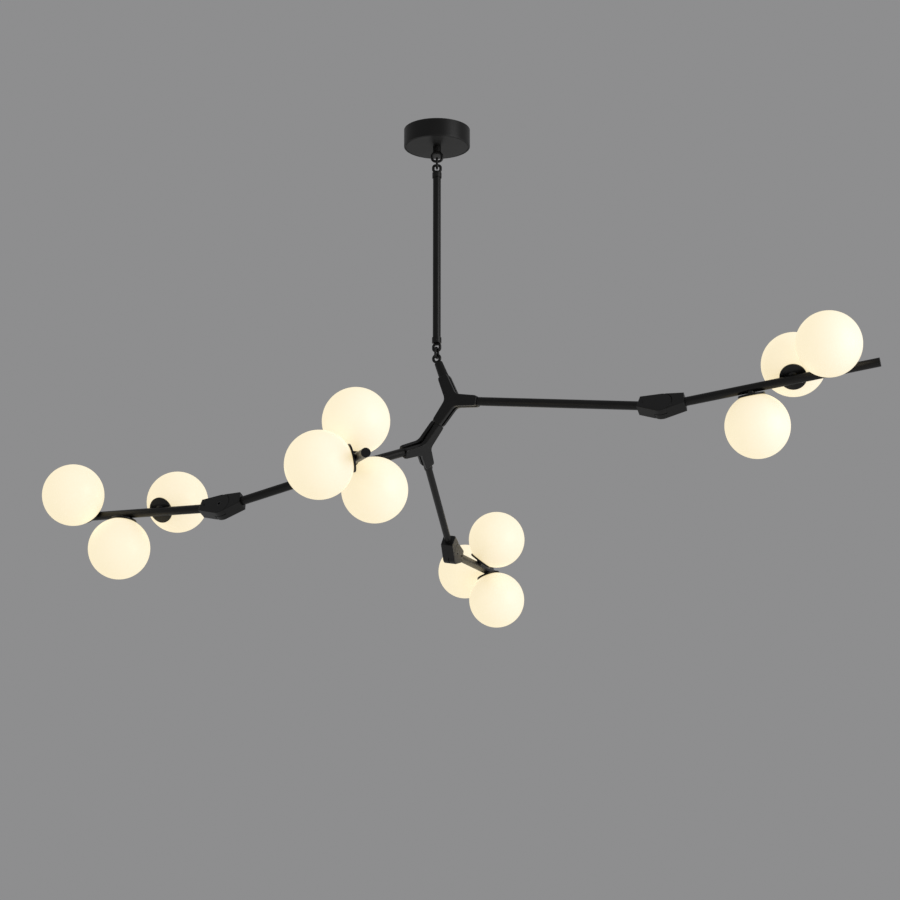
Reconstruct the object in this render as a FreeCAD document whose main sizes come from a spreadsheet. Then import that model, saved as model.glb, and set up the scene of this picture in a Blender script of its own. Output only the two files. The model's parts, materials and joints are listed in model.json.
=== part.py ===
import FreeCAD, Part
import math
import os
import re

import Sketcher
from FreeCAD import Placement, Rotation, Vector

# Branch chandelier: a black canopy and stem carry three flat clamping forks, each a pair of plates.
# The forks hold rods that end in folding elbows, and tubes that each carry three opal globes.
# Millimetres. The origin is the centre of the canopy's rim, on the ceiling. +Z is up, and the
# side that faces a viewer is -Y. "Reach" is the way along a rod from its fork's centre to the
# pivot of its elbow, and a lamp's "place" is the way along its tube from that pivot.

X, Y, Z = Vector(1, 0, 0), Vector(0, 1, 0), Vector(0, 0, 1)
ORIGIN = Vector(0, 0, 0)
QUARTER, HALF = math.pi / 2, math.pi

SIZES = {
    # canopy on the ceiling
    "canopy_width": 110,
    "canopy_height": 30,
    "canopy_wall": 1.2,
    "canopy_edge": 2,
    "canopy_hole_gap": 0.3,
    # strip that is screwed to the ceiling inside the canopy
    "bracket_length": 96,
    "bracket_width": 22,
    "bracket_plate": 2,
    "bracket_depth": 9,
    "bracket_web": 48,
    "slot_spacing": 72,
    "slot_width": 5,
    "slot_length": 12,
    # threaded nipple and its two nuts
    "nipple_width": 10,
    "nipple_bore": 6,
    "nipple_rise": 5,
    "nipple_grip": 6.5,
    "nut_flats": 14,
    "nut_height": 4,
    # eye under the canopy
    "neck_width": 13.5,
    "neck_height": 9,
    "canopy_eye_width": 16.5,
    "canopy_eye_height": 15,
    "set_screw_width": 3,
    "set_screw_depth": 4,
    # wire eyes and links
    "eye_wire": 4.5,
    "eye_width": 12,
    "eye_height": 11,
    "eye_bite": 0.45,
    "link_wire": 4,
    "link_width": 9.5,
    "link_height": 16.2,
    "link_play": 0.25,
    # stem
    "stem_width": 13,
    "stem_bore": 11,
    "stem_length": 275.7,
    "collar_width": 15.5,
    "collar_height": 9,
    "spigot_length": 15,
    # eye on top of the upper fork
    "fork_eye_width": 12,
    "fork_eye_reach": 80,
    "fork_neck_width": 16,
    "fork_neck_waist": 13.5,
    # clamping forks
    "fork_arm": 44.75,
    "fork_root_width": 21,
    "fork_end_width": 17,
    "fork_tip_width": 14.4,
    "fork_bevel": 4,
    "fork_plate": 6.5,
    "fork_gap": 5,
    "fork_crotch": 12,
    "fork_edge": 1.5,
    "fork_boss": 10,
    "channel_start": 15,
    "lower_fork_step": 90,
    "near_fork_step": 196,
    "screw_width": 3,
    "screw_head": 5.6,
    "screw_sink": 1.4,
    "screw_key": 1.8,
    "screw_length": 16,
    "screw_place": 34,
    "screw_hole": 3.4,
    "rod_screw_hole": 4.2,
    # rods and tubes
    "rod_width": 14,
    "rod_bore": 10,
    "right_rod_bore": 9,
    "drop_rod_width": 11.6,
    "drop_rod_bore": 6.6,
    "drop_sleeve_length": 40,
    "right_reach": 361,
    "left_reach": 195,
    "drop_reach": 290,
    "tube_cap": 2,
    # folding elbows
    "elbow_end": 37,
    "elbow_end_width": 21,
    "elbow_boss": 36,
    "elbow_thickness": 21,
    "elbow_edge": 1.2,
    "elbow_socket": 17,
    "washer_width": 30,
    "washer_thickness": 1,
    "bolt_width": 6,
    "bolt_head": 10,
    "bolt_head_height": 4,
    "bolt_key": 4,
    "bolt_key_depth": 2.2,
    "bolt_grip": 6.5,
    "bolt_roof": 3,
    # lamps
    "lamp_pitch": 66,
    "globe_width": 100,
    "globe_wall": 2.5,
    "globe_mouth": 30,
    "globe_lip": 35.2,
    "globe_seat": 11.6,
    "cup_width": 42,
    "cup_height": 3.5,
    "cup_rim": 1,
    "stub_width": 12,
    "cup_nipple_width": 8,
    "cup_nipple_bore": 5,
    "cup_nipple_start": 4,
    "holder_width": 20,
    "holder_height": 16,
    "holder_bore": 12.4,
    "holder_floor": 6,
    "bulb_width": 16,
    "bulb_base": 12,
    "bulb_base_height": 12,
    "bulb_height": 44,
    # how the branches are turned, in degrees
    "branch_yaw": 26.3,
    "branch_tilt": 22.1,
    "lower_twist": -84.8,
    "near_twist": 133.6,
    "right_roll": -30.6,
    "right_fold": 17.8,
    "left_roll": 133.5,
    "left_fold": 16.4,
    "drop_roll": 147.6,
    "drop_fold": -29.0,
    # clearances
    "slide_gap": 0.05,
    "thread_gap": 0.05,
    "end_gap": 0.3,
    "recess_gap": 0.5,
}

# Each cluster of lamps: the way from the pivot (the fork's centre, for the near one) to the first
# lamp, the length of the tube beyond the last one, and the turn of each lamp about the tube.
CLUSTERS = {
    "right": {"first": 138, "tail": 66, "turns": (-138.4, -20.9, 90.9)},
    "left": {"first": 128, "tail": 66, "turns": (37.8, 161.3, -89.8)},
    "near": {"first": 143, "tail": 66, "turns": (-57.7, 66.5, 174.9)},
    "drop": {"first": 172, "tail": 66, "turns": (-150.4, -28.0, 88.9)},
}
for cluster, lamp in CLUSTERS.items():
    SIZES[cluster + "_first_lamp"] = lamp["first"]
    SIZES[cluster + "_tail"] = lamp["tail"]
    for number, turn in enumerate(lamp["turns"], start=1):
        SIZES["%s_lamp_turn_%s" % (cluster, "abc"[number - 1])] = turn

# Depths are measured down from the ceiling, to the middle of a wire where they end in "wire".
WORKED = {
    "neck_bottom": "canopy_height + neck_height",
    "wire_step": "(eye_wire + link_wire) / 2 + link_play",
    "canopy_eye_wire": "neck_bottom + eye_wire / 4 + canopy_eye_height",
    "top_link_wire": "canopy_eye_wire - wire_step + link_height",
    "stem_top": "top_link_wire - wire_step + eye_height + collar_rise",
    "stem_bottom": "stem_top + 2 * collar_height + stem_length",
    "stem_eye_wire": "stem_bottom + collar_rise + eye_height",
    "bottom_link_wire": "stem_eye_wire - wire_step + link_height",
    "fork_eye_depth": "bottom_link_wire - wire_step + fork_eye_width / 2",
    "collar_rise": "eye_wire * eye_bite",
    "fork_face": "fork_gap / 2 + fork_plate",
    "channel_width": "rod_width + 2 * slide_gap",
    "socket_floor": "elbow_end - elbow_socket",
    "tube_start": "socket_floor + end_gap",
    "lap_face": "washer_thickness / 2",
    "globe_offset": "globe_seat + sqrt((globe_width / 2)^2 - (globe_lip / 2)^2)",
    "cup_recess": "cup_width / 2 - cup_rim",
    "cup_floor": "globe_seat - end_gap",
    "cup_top": "globe_offset - sqrt((globe_width / 2)^2 - cup_recess^2) - end_gap",
    "cup_bottom": "cup_top - cup_height",
    "bulb_seat": "cup_floor + holder_floor + end_gap",
}

doc = FreeCAD.newDocument("BranchChandelier")
sheet = doc.addObject("Spreadsheet::Sheet", "Sizes")
worked = doc.addObject("App::VarSet", "Worked")


def bound(text):
    """Turn each size's name in a formula into a reference to its cell or worked value."""
    def reference(match):
        word = match.group()
        if word in SIZES:
            return "Sizes." + word
        return "Worked." + word if word in WORKED else word
    return re.sub(r"[a-z]\w*", reference, text)


def fill_sheet():
    for row, (alias, value) in enumerate(SIZES.items(), start=1):
        sheet.set("A%d" % row, alias)
        sheet.set("B%d" % row, str(value))
        sheet.setAlias("B%d" % row, alias)
    doc.recompute()
    for name in WORKED:
        worked.addProperty("App::PropertyFloat", name, "Worked")
    for name, formula in WORKED.items():
        worked.setExpression(name, bound(formula))
    doc.recompute()


def size(name):
    """A size as a number, for placing pieces."""
    return float(getattr(worked, name) if name in WORKED else sheet.get(name))


# ---- drawing and feature helpers ----

def new_body(name):
    piece = doc.addObject("PartDesign::Body", name)
    piece.Label = name
    return piece


def new_sketch(piece, role, name, offset=Placement()):
    drawing = piece.newObject("Sketcher::SketchObject", name)
    face = next(plane for plane in piece.Origin.OriginFeatures if plane.Role == role)
    drawing.AttachmentSupport = [(face, "")]
    drawing.MapMode = "FlatFace"
    drawing.AttachmentOffset = offset
    return drawing


def constrain(drawing, name, formula, *what):
    """Add a constraint whose value follows a formula."""
    index = drawing.addConstraint(Sketcher.Constraint(*what))
    drawing.renameConstraint(index, name)
    drawing.setExpression("Constraints." + name, bound(formula))


def outline(drawing, corners):
    """Close a chain of lines through corners, each a pair of formulas. "0" lies on the axis."""
    count = len(corners)
    start = [Rotation(Z, 360 * i / count).multVec(10 * X) for i in range(count)]
    for i in range(count):
        drawing.addGeometry(Part.LineSegment(start[i], start[(i + 1) % count]))
    for i in range(count):
        drawing.addConstraint(Sketcher.Constraint("Coincident", i, 2, (i + 1) % count, 1))
    for i, pair in enumerate(corners):
        for kind, axis, formula, value in zip(("DistanceX", "DistanceY"), (-2, -1), pair, start[i]):
            if formula == "0":
                drawing.addConstraint(Sketcher.Constraint("PointOnObject", i, 1, axis))
            else:
                constrain(drawing, "%s%d" % (kind, i), formula, kind, -1, 1, i, 1, value)


def circle(drawing, width, x="0", y="0"):
    """Draw a circle about the point x, y."""
    drawing.addGeometry(Part.Circle(Vector(1, 1, 0), Z, 3))
    constrain(drawing, "width", width, "Diameter", 0, 6)
    for kind, axis, formula in (("DistanceX", -2, x), ("DistanceY", -1, y)):
        if formula == "0":
            drawing.addConstraint(Sketcher.Constraint("PointOnObject", 0, 3, axis))
        else:
            constrain(drawing, kind, formula, kind, -1, 1, 0, 3, 1)


def hexagon(drawing, flats):
    """Draw a hexagon about the origin, by the width across its flats."""
    side, point = flats + " / 2", flats + " / 2 * tan(30 deg)"
    outline(drawing, [(side, point), ("0", flats + " / 2 / cos(30 deg)"), ("-" + side, point),
                      ("-" + side, "-" + point), ("0", "-%s / 2 / cos(30 deg)" % flats),
                      (side, "-" + point)])


def revolve(piece, name, axis, corners):
    """Revolve an outline about Z, of (radius, height), or about X, of (way along, radius)."""
    drawing = new_sketch(piece, "XZ_Plane" if axis == "Z" else "XY_Plane", name + "_outline")
    outline(drawing, corners)
    turn = piece.newObject("PartDesign::Revolution", name)
    turn.Profile = drawing
    turn.ReferenceAxis = (drawing, ["V_Axis" if axis == "Z" else "H_Axis"])
    turn.Angle = 360
    return turn


def pad(piece, drawing, name, length, both_ways=False):
    block = piece.newObject("PartDesign::Pad", name)
    block.Profile = drawing
    block.setExpression("Length", bound(length))
    if both_ways:
        block.Midplane = True
    return block


def pocket(piece, drawing, name, length=None, upwards=False, both_ways=False):
    """Cut against the drawing's normal, or along it when upwards. No length cuts right through."""
    cut = piece.newObject("PartDesign::Pocket", name)
    cut.Profile = drawing
    cut.Type = "Length" if length else "ThroughAll"
    if length:
        cut.setExpression("Length", bound(length))
    cut.Reversed = upwards
    cut.Midplane = both_ways
    return cut


def three_ways(piece, feature, axis_drawing, name):
    """Repeat a feature at 120 degrees about the drawing's normal."""
    pattern = piece.newObject("PartDesign::PolarPattern", name)
    pattern.Originals = [feature]
    pattern.Axis = (axis_drawing, ["N_Axis"])
    pattern.Angle = 360
    pattern.Occurrences = 3
    piece.Tip = pattern
    return pattern


def lift(drawing, formula):
    """Move a drawing along its normal."""
    drawing.setExpression("AttachmentOffset.Base.z", bound(formula))


def soften(piece, name, radius, wanted):
    """Fillet the edges of the body so far that the test picks."""
    doc.recompute()
    before = piece.Tip
    edges = ["Edge%d" % i for i, edge in enumerate(before.Shape.Edges, start=1) if wanted(edge)]
    round_off = piece.newObject("PartDesign::Fillet", name)
    round_off.Base = (before, edges)
    round_off.setExpression("Radius", bound(radius))
    return round_off


def level(edge, height):
    """Whether all of an edge lies at one height."""
    box = edge.BoundBox
    return abs(box.ZMin - height) < 0.01 and abs(box.ZMax - height) < 0.01


def ring(piece, name, width, height, wire, middle="0"):
    """Add a rounded rectangle of wire in the XZ plane, its middle on the Z axis."""
    path = new_sketch(piece, "XZ_Plane", name + "_path")
    w, h, r = 6, 5, 3
    corner = ((w - r, h - r, 0), (w - r, r - h, 270), (r - w, r - h, 180), (r - w, h - r, 90))
    lines = (((r - w, h), (w - r, h)), ((w, h - r), (w, r - h)),
             ((w - r, -h), (r - w, -h)), ((-w, r - h), (-w, h - r)))
    for (start, end), (x, y, turn) in zip(lines, corner):
        path.addGeometry(Part.LineSegment(Vector(*start, 0), Vector(*end, 0)))
        arc = Part.ArcOfCircle(Part.Circle(ORIGIN, Z, r), 0, QUARTER)
        arc.transform(Placement(Vector(x, y, 0), Rotation(Z, turn)).toMatrix())
        path.addGeometry(arc)
    for line, arc_before in ((0, 7), (2, 1), (4, 3), (6, 5)):
        path.addConstraint(Sketcher.Constraint("Tangent", line, 2, line + 1, 2))
        path.addConstraint(Sketcher.Constraint("Tangent", arc_before, 1, line, 1))
        path.addConstraint(Sketcher.Constraint("Horizontal" if line in (0, 4) else "Vertical", line))
        if line:
            path.addConstraint(Sketcher.Constraint("Equal", 1, line + 1))
    path.addConstraint(Sketcher.Constraint("Symmetric", 0, 1, 4, 1, -1, 1))
    constrain(path, "across", width, "DistanceX", 6, 1, 2, 1, 2 * w)
    constrain(path, "upright", height, "DistanceY", 4, 1, 0, 2, 2 * h)
    constrain(path, "corner", "min(%s; %s) / 2 - %s / 3" % (width, height, wire), "Radius", 1, r)
    path.setExpression("AttachmentOffset.Base.y", bound(middle))
    section = new_sketch(piece, "YZ_Plane", name + "_section")
    circle(section, wire, y="%s + %s / 2" % (middle, height))
    pipe = piece.newObject("PartDesign::AdditivePipe", name)
    pipe.Profile = section
    pipe.Spine = path
    return pipe


def on_tube(place, turn):
    """A frame on a tube: X along the tube, Z out of it in the direction that turn gives."""
    return Placement(place * X, Rotation(X, turn - 90))


def group(name, master, places):
    """Copies of one piece as a single node of separate solids."""
    copies = []
    for number, place in enumerate(places, start=1):
        copy = doc.addObject("App::Link", "%s_%d" % (name, number))
        copy.LinkedObject = master
        copy.Placement = place
        copies.append(copy)
    cluster_of_copies = doc.addObject("Part::Compound", name)
    cluster_of_copies.Label = name
    cluster_of_copies.Links = copies
    return cluster_of_copies


# ---- canopy, bracket, eyes and stem ----

def mounting_bracket():
    """A strip with two raised pads against the ceiling and a lower web that holds the nipple."""
    strip = new_body("mounting_bracket")
    drawing = new_sketch(strip, "XZ_Plane", "strip_outline")
    end, knee, shoulder = "bracket_length / 2", "bracket_web / 2 - bracket_plate", "bracket_web / 2"
    web_bottom = "-bracket_depth - bracket_plate"
    right = [(knee, "0"), (end, "0"), (end, "-bracket_plate"), (shoulder, "-bracket_plate"),
             (shoulder, web_bottom)]
    left = [("-(%s)" % x, z) for x, z in reversed(right)]
    outline(drawing, [("-(%s)" % knee, "-bracket_depth"), (knee, "-bracket_depth")] + right + left)
    pad(strip, drawing, "strip", "bracket_width", both_ways=True)
    for side in ("", "-"):
        slot = new_sketch(strip, "XY_Plane", "slot" + ("_left" if side else "_right"))
        x, half = side + "slot_spacing / 2", "(slot_length - slot_width) / 2"
        draw_slot(slot, x, half)
        pocket(strip, slot, slot.Name + "_cut", both_ways=True)
    hole = new_sketch(strip, "XY_Plane", "nipple_hole")
    circle(hole, "nipple_width + 2 * slide_gap")
    pocket(strip, hole, "nipple_hole_cut", both_ways=True)
    return strip


def draw_slot(drawing, x, half):
    """A slot along X about the point x, 0, whose end arcs are centred half away from it."""
    drawing.addGeometry(Part.LineSegment(Vector(-3, 2, 0), Vector(3, 2, 0)))
    drawing.addGeometry(Part.ArcOfCircle(Part.Circle(Vector(3, 0, 0), Z, 2), -QUARTER, QUARTER))
    drawing.addGeometry(Part.LineSegment(Vector(3, -2, 0), Vector(-3, -2, 0)))
    drawing.addGeometry(Part.ArcOfCircle(Part.Circle(Vector(-3, 0, 0), Z, 2), QUARTER, HALF + QUARTER))
    for line, line_end, arc, arc_end in ((0, 2, 1, 2), (2, 1, 1, 1), (2, 2, 3, 2), (0, 1, 3, 1)):
        drawing.addConstraint(Sketcher.Constraint("Tangent", line, line_end, arc, arc_end))
    drawing.addConstraint(Sketcher.Constraint("Horizontal", 0))
    drawing.addConstraint(Sketcher.Constraint("PointOnObject", 1, 3, -1))
    drawing.addConstraint(Sketcher.Constraint("Equal", 1, 3))
    constrain(drawing, "width", "slot_width", "Diameter", 1, 4)
    constrain(drawing, "right_end", "%s + %s" % (x, half), "DistanceX", -1, 1, 1, 3, 3)
    constrain(drawing, "left_end", "%s - %s" % (x, half), "DistanceX", -1, 1, 3, 3, -3)


def hanger_nipple():
    tube = new_body("hanger_nipple")
    top, bottom = "nipple_rise - bracket_depth", "-canopy_height - nipple_grip"
    revolve(tube, "nipple", "Z", [("nipple_bore / 2", top), ("nipple_width / 2", top),
                                  ("nipple_width / 2", bottom), ("nipple_bore / 2", bottom)])
    return tube


def hanger_nuts():
    """One nut on the web of the bracket and one under it."""
    nut = new_body("nut")
    drawing = new_sketch(nut, "XY_Plane", "nut_outline")
    hexagon(drawing, "nut_flats")
    pad(nut, drawing, "nut_block", "nut_height")
    bore = new_sketch(nut, "XY_Plane", "nut_bore")
    circle(bore, "nipple_width + 2 * thread_gap")
    pocket(nut, bore, "nut_bore_cut", both_ways=True)
    under = -size("bracket_depth") - size("bracket_plate") - size("nut_height")
    return group("hanger_nuts", nut, [Placement(-size("bracket_depth") * Z, Rotation()),
                                      Placement(under * Z, Rotation(Z, 17))])


def canopy():
    cup = new_body("canopy")
    inside, floor = "canopy_width / 2 - canopy_wall", "canopy_wall - canopy_height"
    hole = "nipple_width / 2 + canopy_hole_gap"
    revolve(cup, "canopy_shell", "Z", [
        (hole, "-canopy_height"), ("canopy_width / 2", "-canopy_height"), ("canopy_width / 2", "0"),
        (inside, "0"), (inside, floor), (hole, floor)])
    rim = size("canopy_width") / 2
    soften(cup, "canopy_round", "canopy_edge",
           lambda edge: level(edge, -size("canopy_height")) and edge.BoundBox.XMax > rim - 0.01)
    return cup


def canopy_eye():
    """A neck screwed on the nipple, with a wide eye of wire under it."""
    eye = new_body("canopy_eye")
    top, bottom = "-canopy_height", "-neck_bottom"
    bore, roof = "nipple_width / 2 + thread_gap", "-canopy_height - nipple_grip - end_gap"
    revolve(eye, "neck", "Z", [("0", roof), (bore, roof), (bore, top), ("neck_width / 2", top),
                               ("neck_width / 2", bottom), ("0", bottom)])
    ring(eye, "canopy_eye_wire", "canopy_eye_width", "canopy_eye_height", "eye_wire",
         middle="-neck_bottom - eye_wire / 4 - canopy_eye_height / 2")
    hole = new_sketch(eye, "XZ_Plane", "set_screw_hole")
    circle(hole, "set_screw_width + 2 * thread_gap", y="-canopy_height - set_screw_depth")
    pocket(eye, hole, "set_screw_hole_cut", "neck_width", upwards=True)
    return eye


def neck_set_screw():
    """A headless screw through the neck's front that bears on the nipple."""
    screw = new_body("neck_set_screw")
    tip, face = "-nipple_width / 2 - thread_gap", "-neck_width / 2"
    revolve(screw, "set_screw", "X", [
        (tip, "0"), (tip, "set_screw_width / 2"), (face, "set_screw_width / 2"),
        (face, "set_screw_width / 4"), (face + " + set_screw_width / 4", "set_screw_width / 4"),
        (face + " + set_screw_width / 4", "0")])
    screw.Placement = Placement(-(size("canopy_height") + size("set_screw_depth")) * Z, Rotation(Z, 90))
    return screw


def link(name, place):
    """A chain link across the eyes, its lower wire on the local X axis."""
    loop = new_body(name)
    ring(loop, name + "_wire", "link_width", "link_height", "link_wire", middle="link_height / 2")
    loop.Placement = place
    return loop


def stem_eye(name, place):
    """A wire eye on a collar, with a spigot that goes into the stem. The collar's top is at 0."""
    eye = new_body(name)
    revolve(eye, "collar", "Z", [
        ("0", "0"), ("collar_width / 2", "0"), ("collar_width / 2", "-collar_height"),
        ("stem_bore / 2 - slide_gap", "-collar_height"),
        ("stem_bore / 2 - slide_gap", "-collar_height - spigot_length"),
        ("0", "-collar_height - spigot_length")])
    ring(eye, name + "_wire", "eye_width", "eye_height", "eye_wire",
         middle="collar_rise + eye_height / 2")
    eye.Placement = place
    return eye


def stem_tube():
    tube = new_body("stem_tube")
    revolve(tube, "stem", "Z", [("stem_bore / 2", "0"), ("stem_width / 2", "0"),
                                ("stem_width / 2", "-stem_length"), ("stem_bore / 2", "-stem_length")])
    tube.Placement = Placement(-(size("stem_top") + size("collar_height")) * Z, Rotation())
    return tube


# ---- forks ----

def fork_eye(place):
    """A round eye on a flared neck, with a pin that the upper fork clamps. X is down the pin."""
    eye = new_body("fork_eye")
    fork_end = "fork_eye_reach - fork_arm"
    revolve(eye, "neck", "X", [
        ("fork_eye_width / 2", "0"), ("fork_eye_width / 2", "fork_neck_waist / 3"),
        ("fork_eye_width * 3 / 4", "fork_neck_waist / 2"),
        (fork_end + " - fork_edge", "fork_neck_width / 2"),
        (fork_end, "fork_neck_width / 2"), (fork_end, "rod_width / 2"),
        ("fork_eye_reach - channel_start", "rod_width / 2"), ("fork_eye_reach - channel_start", "0")])
    wire = new_sketch(eye, "XZ_Plane", "eye_section")
    circle(wire, "eye_wire", x="fork_eye_width / 2")
    loop = eye.newObject("PartDesign::Revolution", "eye_loop")
    loop.Profile = wire
    loop.ReferenceAxis = (wire, ["V_Axis"])
    loop.Angle = 360
    rod_hole(eye, "fork_eye_reach - screw_place", 0)
    eye.Placement = place
    return eye


def rod_hole(piece, place, turn):
    """A hole right through a rod for a clamping screw, turned about the rod's axis."""
    hole = new_sketch(piece, "XY_Plane", "screw_hole", Placement(ORIGIN, Rotation(X, turn)))
    circle(hole, "rod_screw_hole", x=place)
    pocket(piece, hole, "screw_hole_cut", both_ways=True)


def fork_half(name, place, threaded):
    """One plate of a fork, with three arms. Z is out of the plate, and one arm lies along -X."""
    half = new_body(name)
    arm = new_sketch(half, "XY_Plane", "arm_outline")
    shoulder = "fork_bevel - fork_arm"
    edge = [("0", "fork_root_width / 2"), (shoulder, "fork_end_width / 2"),
            ("-fork_arm", "fork_tip_width / 2")]
    outline(arm, edge + [(x, "-" + y) for x, y in reversed(edge)])
    lift(arm, "fork_gap / 2")
    three_ways(half, pad(half, arm, "arm", "fork_plate"), arm, "arms")
    root = size("fork_root_width")
    soften(half, "crotches", "fork_crotch", lambda e: abs(e.BoundBox.ZLength - size("fork_plate"))
           < 0.01 and e.CenterOfMass.projectToPlane(ORIGIN, Z).Length < root)
    soften(half, "outer_edges", "fork_edge", lambda e: level(e, size("fork_face")))
    boss = new_sketch(half, "XY_Plane", "boss_outline")
    circle(boss, "fork_boss")
    pad(half, boss, "boss", "fork_gap / 2 + fork_plate / 2")
    channel = new_sketch(half, "YZ_Plane", "channel_outline")
    circle(channel, "channel_width")
    lift(channel, "-channel_start")
    doc.recompute()
    three_ways(half, pocket(half, channel, "channel"), arm, "channels")
    screw_holes(half, arm, threaded)
    half.Placement = place
    return half


def screw_holes(half, arm, threaded):
    """Holes at the middle and on each arm: blind ones for the thread, or countersunk ones."""
    if threaded:
        width, depth = "screw_width + 2 * thread_gap", "fork_face - screw_sink"
    else:
        width, depth = "screw_hole", "fork_face + fork_edge"
    for name, x in (("middle", "0"), ("arm", "-screw_place")):
        hole = new_sketch(half, "XY_Plane", name + "_hole")
        circle(hole, width, x=x)
        cuts = [pocket(half, hole, name + "_hole_cut", depth, upwards=True)]
        if name == "arm":
            three_ways(half, cuts[0], arm, "arm_holes")
        if not threaded:
            sink = half.newObject("PartDesign::SubtractiveCone", name + "_sink")
            sink.setExpression("Radius1", bound("screw_width / 2"))
            sink.setExpression("Radius2", bound("screw_head / 2 + slide_gap"))
            sink.setExpression("Height", bound("screw_sink"))
            sink.setExpression("Placement.Base.x", bound(x))
            sink.setExpression("Placement.Base.z", bound("fork_face - screw_sink"))
            if name == "arm":
                three_ways(half, sink, arm, "arm_sinks")


def fork_screw():
    """A countersunk screw, its flat head at 0 and its tip up."""
    screw = new_body("fork_screw")
    revolve(screw, "screw", "Z", [
        ("0", "0"), ("screw_head / 2", "0"), ("screw_width / 2", "screw_sink"),
        ("screw_width / 2", "screw_length"), ("0", "screw_length")])
    key = new_sketch(screw, "XY_Plane", "key_outline")
    hexagon(key, "screw_key")
    pocket(screw, key, "key", "screw_sink", upwards=True)
    return screw


def fork(name, place, screw):
    """Two plates, with four screws put in from the back. Z is out of the front plate."""
    face = -size("fork_face") * Z
    arms = [Rotation(Z, turn).multVec(-size("screw_place") * X) for turn in (0, 120, 240)]
    screws = group(name + "_screws", screw,
                   [Placement(spot + face, Rotation()) for spot in [ORIGIN] + arms])
    screws.Placement = place
    return [fork_half(name + "_front", place, True),
            fork_half(name + "_back", place * Placement(ORIGIN, Rotation(X, 180)), False), screws]


def rod(name, place, start, end, bore="rod_bore", width="rod_width", holes=()):
    """A tube along X. Each of its cross holes is a place and a turn."""
    tube = new_body(name)
    revolve(tube, "tube", "X", [(start, bore + " / 2"), (start, width + " / 2"),
                                (end, width + " / 2"), (end, bore + " / 2")])
    for spot, turn in holes:
        rod_hole(tube, spot, turn)
    tube.Placement = place
    return tube


# ---- elbows ----

def knuckle(name, place, bore, threaded):
    """Half an elbow. Its pivot is Z, its socket opens at -X, and its lap is above the XY plane."""
    half = new_body(name)
    draw = new_sketch(half, "XY_Plane", "knuckle_outline")
    boss, end, mouth = 18, 37, 10.5
    draw.addGeometry(Part.LineSegment(Vector(-end, -mouth, 0), Vector(-end, mouth, 0)))
    draw.addGeometry(Part.LineSegment(Vector(-end, mouth, 0), Vector(-3.8, 17.6, 0)))
    draw.addGeometry(Part.ArcOfCircle(Part.Circle(ORIGIN, Z, boss), -1.783, 1.783))
    draw.addGeometry(Part.LineSegment(Vector(-3.8, -17.6, 0), Vector(-end, -mouth, 0)))
    draw.addConstraint(Sketcher.Constraint("Coincident", 2, 3, -1, 1))
    draw.addConstraint(Sketcher.Constraint("Coincident", 0, 2, 1, 1))
    draw.addConstraint(Sketcher.Constraint("Coincident", 3, 2, 0, 1))
    draw.addConstraint(Sketcher.Constraint("Tangent", 1, 2, 2, 2))
    draw.addConstraint(Sketcher.Constraint("Tangent", 2, 1, 3, 1))
    draw.addConstraint(Sketcher.Constraint("Symmetric", 0, 1, 0, 2, -1))
    constrain(draw, "boss", "elbow_boss", "Diameter", 2, 2 * boss)
    constrain(draw, "mouth", "elbow_end_width", "DistanceY", 0, 1, 0, 2, 2 * mouth)
    constrain(draw, "end", "-elbow_end", "DistanceX", -1, 1, 0, 1, -end)
    pad(half, draw, "block", "elbow_thickness", both_ways=True)
    face = size("elbow_thickness") / 2
    soften(half, "outer_edges", "elbow_edge", lambda e: level(e, face) or level(e, -face))
    lap = new_sketch(half, "XY_Plane", "lap_outline")
    circle(lap, "elbow_boss + 2 * recess_gap")
    lift(lap, "lap_face")
    pocket(half, lap, "lap")
    socket = new_sketch(half, "YZ_Plane", "socket_outline")
    circle(socket, bore + " + 2 * slide_gap")
    lift(socket, "-socket_floor")
    pocket(half, socket, "socket")
    pivot = new_sketch(half, "XY_Plane", "pivot_outline")
    circle(pivot, "bolt_width + 2 * slide_gap")
    if threaded:
        pocket(half, pivot, "pivot_hole", "elbow_thickness / 2 - bolt_roof", upwards=True)
    else:
        pocket(half, pivot, "pivot_hole", "elbow_thickness", upwards=True)
        seat = new_sketch(half, "XY_Plane", "bolt_seat_outline")
        circle(seat, "bolt_head + 8 * slide_gap")
        lift(seat, "elbow_thickness / 2 - bolt_head_height")
        pocket(half, seat, "bolt_seat", "elbow_thickness", upwards=True)
    half.Placement = place
    return half


def elbow_bolt(name, place):
    """A socket-head bolt, its head's outer face at 0 and its tip up."""
    bolt = new_body(name)
    tip = "elbow_thickness / 2 + lap_face + bolt_grip"
    revolve(bolt, "bolt", "Z", [
        ("0", "0"), ("bolt_head / 2", "0"), ("bolt_head / 2", "bolt_head_height"),
        ("bolt_width / 2", "bolt_head_height"), ("bolt_width / 2", tip), ("0", tip)])
    key = new_sketch(bolt, "XY_Plane", "key_outline")
    hexagon(key, "bolt_key")
    pocket(bolt, key, "key", "bolt_key_depth", upwards=True)
    bolt.Placement = place
    return bolt


def elbow_washer(name, place):
    """A friction disc that fills the gap between the two laps."""
    disc = new_body(name)
    hole = "bolt_width / 2 + 2 * slide_gap"
    revolve(disc, "disc", "Z", [(hole, "-lap_face"), ("washer_width / 2", "-lap_face"),
                                ("washer_width / 2", "lap_face"), (hole, "lap_face")])
    disc.Placement = place
    return disc


def elbow(side, place, fold, bore="rod_width"):
    """Both halves of an elbow, its bolt and its washer. The tube's side folds about Z."""
    folded = place * Placement(ORIGIN, Rotation(Z, fold))
    head = place * Placement(-size("elbow_thickness") / 2 * Z, Rotation())
    return [knuckle(side + "_elbow_inner", place, bore, True),
            knuckle(side + "_elbow_outer", folded * Placement(ORIGIN, Rotation(Y, 180)),
                    "rod_width", False),
            elbow_bolt(side + "_elbow_bolt", head), elbow_washer(side + "_elbow_washer", place)]


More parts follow.
